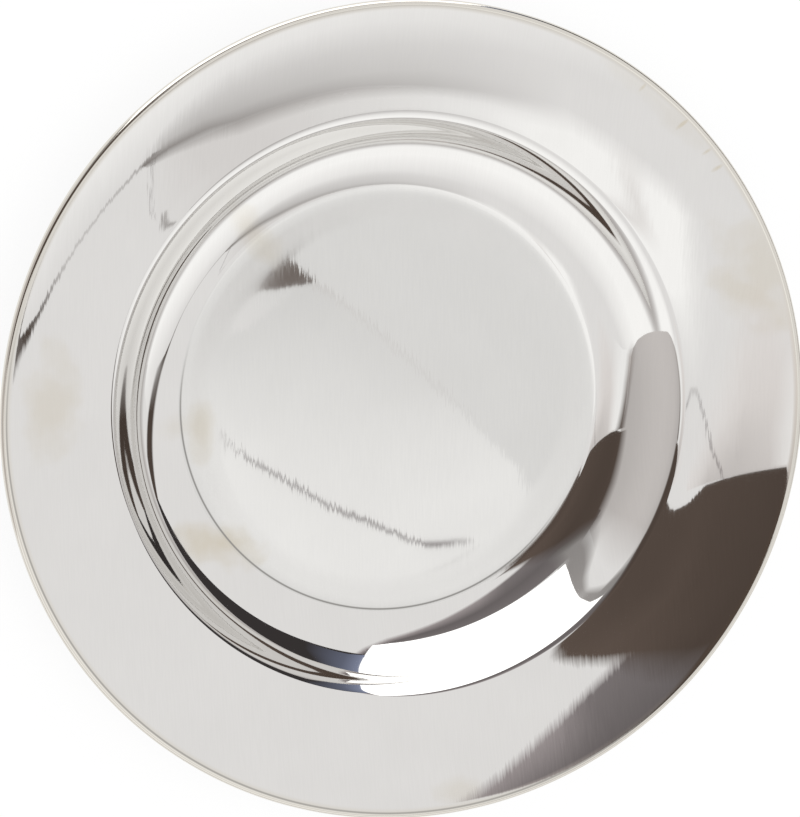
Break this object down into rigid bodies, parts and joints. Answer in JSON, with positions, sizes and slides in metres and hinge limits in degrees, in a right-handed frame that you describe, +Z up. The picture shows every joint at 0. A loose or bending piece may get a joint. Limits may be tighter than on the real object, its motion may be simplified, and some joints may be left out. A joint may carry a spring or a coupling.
{
  "type": "camping plate",
  "caption": "Round camping plate pressed from one sheet of bright stainless steel, with a rolled edge, a wide dished rim and a shallow well.",
  "frame": {"origin": "below the middle of the floor, at the level that the plate stands on", "axes": "+Z up along the plate's axis, +Y along the rolling grain"},
  "size_m": [0.23, 0.23, 0.0288],
  "materials": {
    "bright_steel": "bright, close to a mirror, with a fine straight rolling grain and faint water marks"
  },
  "bodies": {
    "root": {"pressed_plate": "bright_steel"}
  },
  "joints": []
}
